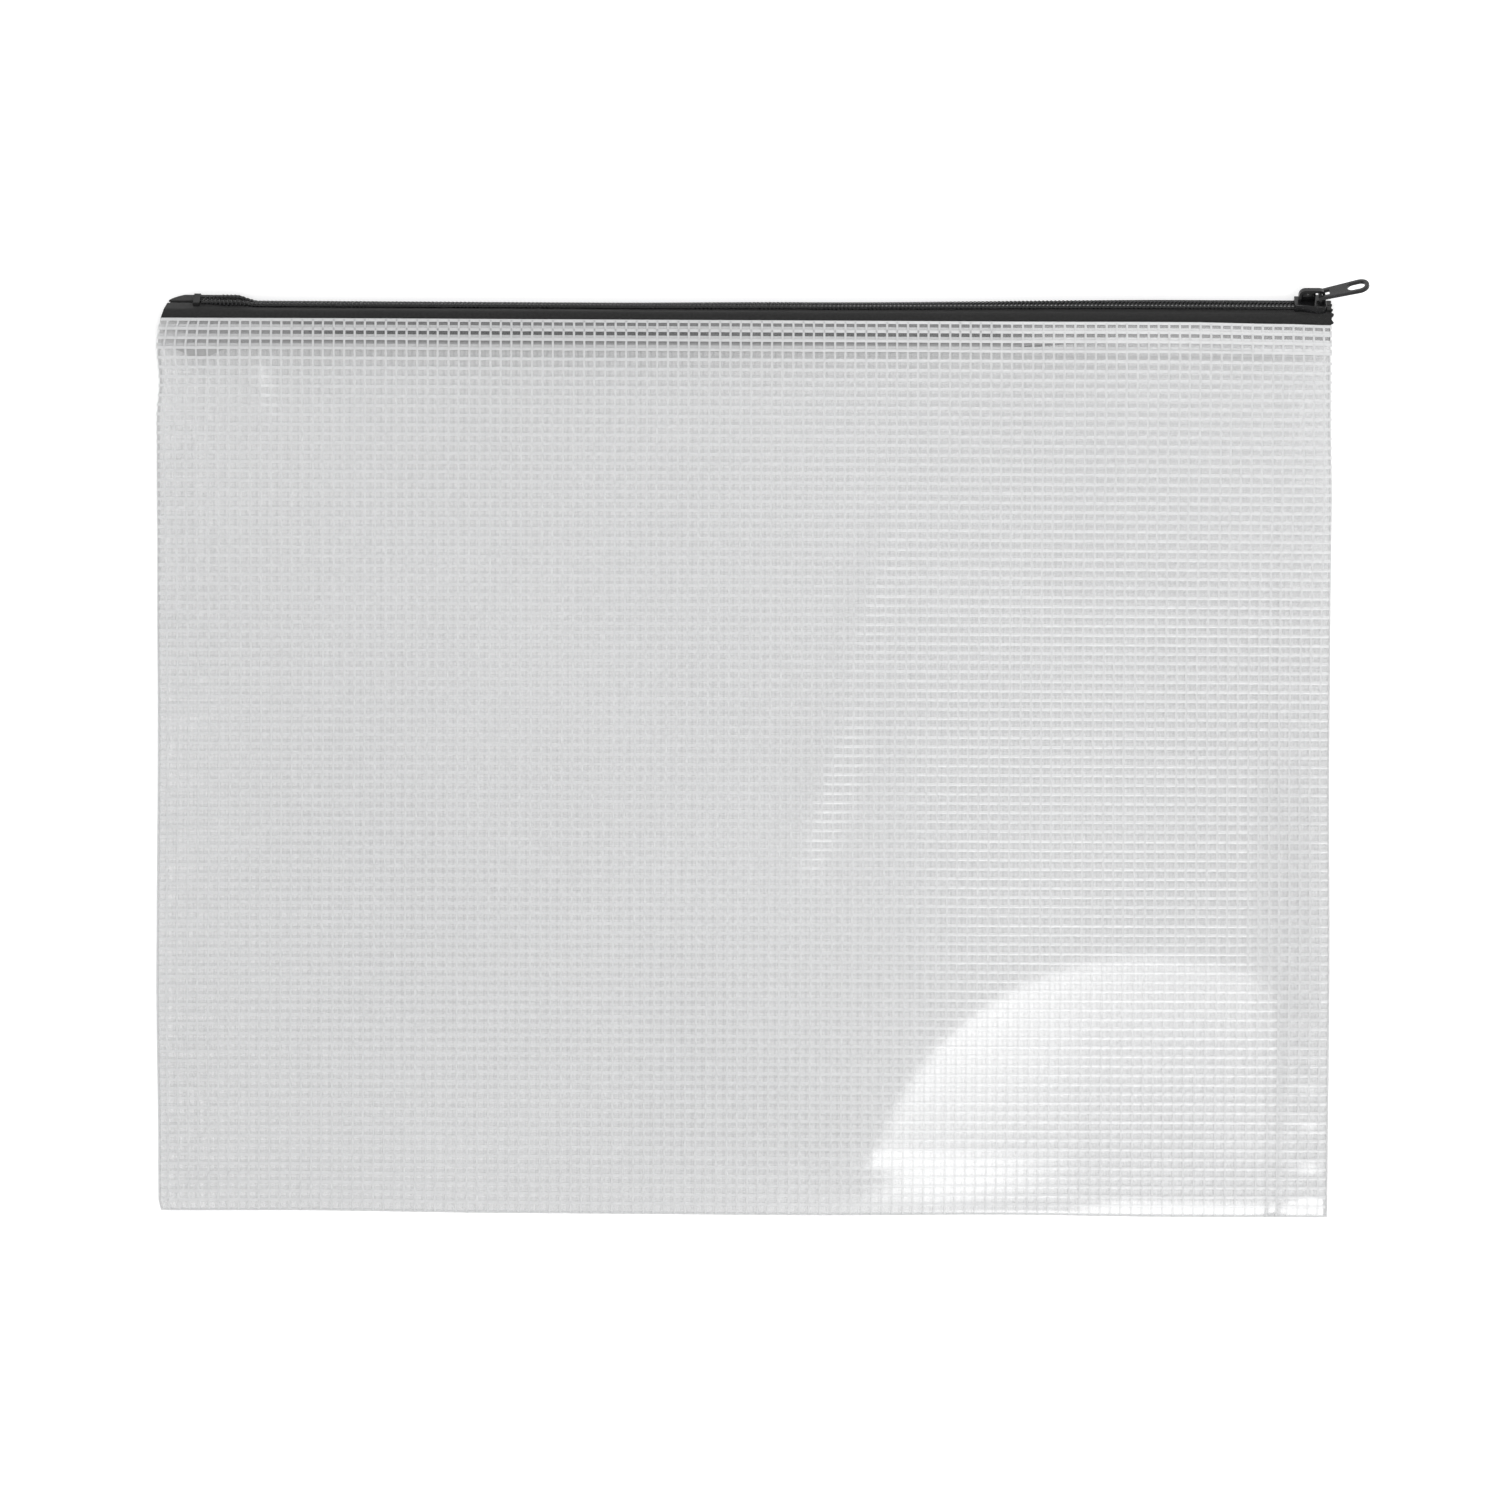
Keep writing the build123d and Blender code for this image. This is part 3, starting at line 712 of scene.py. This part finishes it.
# Film pieces
film_columns = edge_spacing(-HALF_WIDTH, HALF_WIDTH, 160, 0.55)
front_points = front_sheet(film_columns)
front_film = make_piece(
    "front_film", "pouch", front_film_finish, front_points,
    grid_faces(len(front_points), len(film_columns)), thickness=FILM,
    replaced=("front_panel", "front_bottom_border", "front_left_border", "front_right_border",
              "front_mouth_band", "front_left_corner", "front_right_corner", "bottom_fold", "front_hem"))

back_points = back_sheet(film_columns)
back_film = make_piece(
    "back_film", "pouch", back_film_finish, back_points,
    grid_faces(len(back_points), len(film_columns)), thickness=FILM, replaced=("back_panel", "back_hem"))

for side, name in ((-1, "left_side_seam"), (1, "right_side_seam")):
    seam_points = seam_sheet(side)
    rows, columns, _ = seam_points.shape
    seam = make_piece(
        name.replace("side_seam", "seam_film"), "pouch", seam_film_finish, seam_points,
        grid_faces(rows, columns)[:, ::side], thickness=2 * FILM, replaced=(name,))

# Mesh threads: the warp follows the whole front sheet, and the weft lies across it and across its hem
warp_places = thread_places(WARP_START, WARP_PITCH, -HALF_WIDTH + 0.5, HALF_WIDTH - 0.5)
weft_places = thread_places(WEFT_START, WEFT_PITCH, FOLD_Y + 0.4, MOUTH_Y)
weft_columns = np.linspace(-HALF_WIDTH + 0.2, HALF_WIDTH - 0.2, 140)
hem_depths = np.arange(MOUTH_Y - WEFT_START + WEFT_PITCH - HEM_WEFT_SHIFT, HEM_DEPTH, WEFT_PITCH)
warp_lines = np.swapaxes(front_sheet(warp_places), 0, 1)
lay_threads("front_mesh_warp", warp_lines, (1, 0, 0), WARP_WIDTH, warp_finish)
weft_lines = front_surface(*np.meshgrid(weft_columns, weft_places))
lay_threads("front_mesh_weft", weft_lines, (0, -1, 0), WEFT_WIDTH, weft_finish)
hem_lines = hem_surface(*np.meshgrid(weft_columns, hem_depths - HEM_FOLD))
lay_threads("hem_mesh_weft", hem_lines, (0, -1, 0), HEM_WEFT_WIDTH, weft_finish)

# Weld along the sides and the bottom
weld = edge_line()
weld_side = np.cross(np.gradient(weld, axis=0), (0, 0, 1))
weld_side /= np.linalg.norm(weld_side, axis=1, keepdims=True)
lay_threads("edge_weld", weld[None], weld_side[None], WELD_WIDTH, weld_finish)

# Mesh threads of the back film, which lies a little turned against the front
back_warp = thread_places(0.0, WARP_PITCH, -HALF_WIDTH + 1.2, HALF_WIDTH - 1.2)
back_weft = thread_places(0.0, WEFT_PITCH, FOLD_Y + 1.4, MOUTH_Y - 1.4)
y, x = np.meshgrid(np.linspace(FOLD_Y + 0.2, MOUTH_Y - 0.4, 24), back_warp)
back_x, back_y = settle(x - BACK_MESH_TURN * y, y)
back_warp_lines = np.stack([back_x, back_y, 0 * x + FILM / 2], axis=-1)
lay_threads("back_mesh_warp", back_warp_lines, (1, 0, 0), WARP_WIDTH, back_yarn)
x, y = np.meshgrid(np.linspace(-HALF_WIDTH + 0.4, HALF_WIDTH - 0.4, 30), back_weft)
back_x, back_y = settle(x, y + BACK_MESH_TURN * x)
back_weft_lines = np.stack([back_x, back_y, 0 * x + FILM / 2], axis=-1)
lay_threads("back_mesh_weft", back_weft_lines, (0, -1, 0), WEFT_WIDTH, back_yarn)

# Zip pieces
for side, row in ((1, "front"), (-1, "back")):
    points, flat, painted_haze = tape_sheet(side)
    rows, columns, _ = points.shape
    tape = make_piece(
        row + "_zip_tape", "pouch", tape_weave, points, grid_faces(rows, columns)[:, ::-side],
        uv=flat, shade=painted_haze * (side > 0), thickness=TAPE, replaced=(row + "_tape", row + "_tape_flap"))
    points, faces = wire_tube(coil_line(side), COIL_WIRE / 2, COIL_SIDES)
    make_piece(row + "_zip_coil", "pouch", coil_nylon, points, faces, replaced=(row + "_coil",))
    points, faces = core_cord(side)
    make_piece(
        row + "_filler_cord", "pouch", sewing_thread, points, faces, replaced=(row + "_core_cord",))
    inner_line, inner_glint = stitch_line(side, INNER_STITCH, 0.0, 0.0)
    outer_line, outer_glint = stitch_line(side, OUTER_STITCH, np.pi, 1.0 if side > 0 else 0.0)
    inner_points, inner_faces = wire_tube(inner_line, STITCH_RADIUS, STITCH_SIDES)
    outer_points, outer_faces = wire_tube(outer_line, STITCH_RADIUS, STITCH_SIDES)
    points = np.concatenate([inner_points, outer_points])
    faces = np.concatenate([inner_faces, outer_faces + len(inner_points)])
    # Painted glint: the stitches are drawn paler where they stand proud over a turn
    painted_glint = np.repeat(np.concatenate([inner_glint, outer_glint]), STITCH_SIDES)
    make_piece(
        row + "_coil_stitches", "pouch", sewing_thread, points, faces, shade=painted_glint,
        replaced=(row + "_stitching",))

# Painted shade: a black lacquered sheet that fills the bail behind the pull's bar, where there is only a
# shaded gap; a box between two places along, across and out of the zip
bail_rear = node_box("slider_bail")[0][0]
shade_sheet_x = np.array([bail_rear + 0.5, bail_rear + 5.0])
shade_sheet_across = np.array([-0.45, 0.45])
shade_sheet_levels = np.array([2.7, 6.2])
shade_sheet_places = shade_sheet_x[:, None, None] + np.zeros((1, 2, 1))
corners = zip_place(shade_sheet_places, shade_sheet_across[None, None, :], shade_sheet_levels[None, :, None])
shade_sheet_points = corners[:, [0, 1, 1, 0], [0, 0, 1, 1]]
make_piece("bail_shade_sheet", "slider", slider_lacquer, shade_sheet_points, tube_faces(2, 4))

# CAD nodes that stay, with their finishes
for node, finish in (
    ("front_top_stop", stop_lacquer),
    ("back_top_stop", stop_lacquer),
    ("bottom_stop", stop_lacquer),
    ("slider_body", slider_lacquer),
    ("slider_bail", slider_lacquer),
    ("pull_tab", pull_lacquer),
):
    kept = bpy.data.objects[node]
    kept.data.materials.clear()
    kept.data.materials.append(finish)

# Floor
FLOOR_HALF = 3000.0
FLOOR_LEVEL = -0.4
FLOOR_GLOW = 0.3
floor_corners = np.array([(-1, -1), (1, -1), (1, 1), (-1, 1)]) * FLOOR_HALF
floor_points = np.column_stack([floor_corners, np.full(4, FLOOR_LEVEL)])
white_paper, _, paper = new_finish("white_paper", (0.90, 0.90, 0.90), Roughness=0.9, Specular_IOR_Level=0.1)
paper.inputs["Emission Color"].default_value = (1.0, 1.0, 1.0, 1.0)
paper.inputs["Emission Strength"].default_value = FLOOR_GLOW
floor_mesh = bpy.data.meshes.new("floor")
floor_mesh.from_pydata((floor_points * MM).tolist(), [], [(0, 1, 2, 3)])
floor_mesh.materials.append(white_paper)
floor = bpy.data.objects.new("floor", floor_mesh)
bpy.context.scene.collection.objects.link(floor)

# Light: a white room and soft boxes overhead
ROOM_LIGHT = 0.835
world = bpy.data.worlds.new("white_room")
world.use_nodes = True
world.node_tree.nodes["Background"].inputs["Color"].default_value = (1.0, 1.0, 1.0, 1.0)
world.node_tree.nodes["Background"].inputs["Strength"].default_value = ROOM_LIGHT
bpy.context.scene.world = world


def soft_box(name, place, width, depth, power):
    """Oblong area light at a place in metres, turned about x to face the pouch's middle line."""
    light = bpy.data.lights.new(name, "AREA")
    light.shape = "RECTANGLE"
    light.size = width
    light.size_y = depth
    light.energy = power
    lamp = bpy.data.objects.new(name, light)
    lamp.location = place
    lamp.rotation_euler = (-np.arctan2(place[1], place[2]), 0.0, 0.0)
    lamp.visible_camera = False
    bpy.context.scene.collection.objects.link(lamp)


soft_box("rear_soft_box", (0.25, 0.62, 1.25), 0.42, 0.72, 3.7)
soft_box("front_soft_box", (0.30, -0.55, 1.25), 0.36, 0.36, 4.9)

# Camera, straight above, framed as the photograph is and turned by its slight lean
FRAME_WIDTH = 448.0
CAMERA_RISE = 1300.0
FRAMED_LEVEL = 5.0
LEAN = 0.3
CAMERA_X = 1.79
CAMERA_Y = 5.67
camera_data = bpy.data.cameras.new("camera")
camera_data.sensor_width = 36.0
camera_data.lens = camera_data.sensor_width * CAMERA_RISE / FRAME_WIDTH
camera = bpy.data.objects.new("camera", camera_data)
camera.location = (CAMERA_X * MM, CAMERA_Y * MM, (CAMERA_RISE + FRAMED_LEVEL) * MM)
camera.rotation_euler = (0.0, 0.0, np.radians(LEAN))
bpy.context.scene.collection.objects.link(camera)
bpy.context.scene.camera = camera
bpy.context.scene.view_settings.view_transform = "Standard"
bpy.context.scene.cycles.transparent_max_bounces = 48
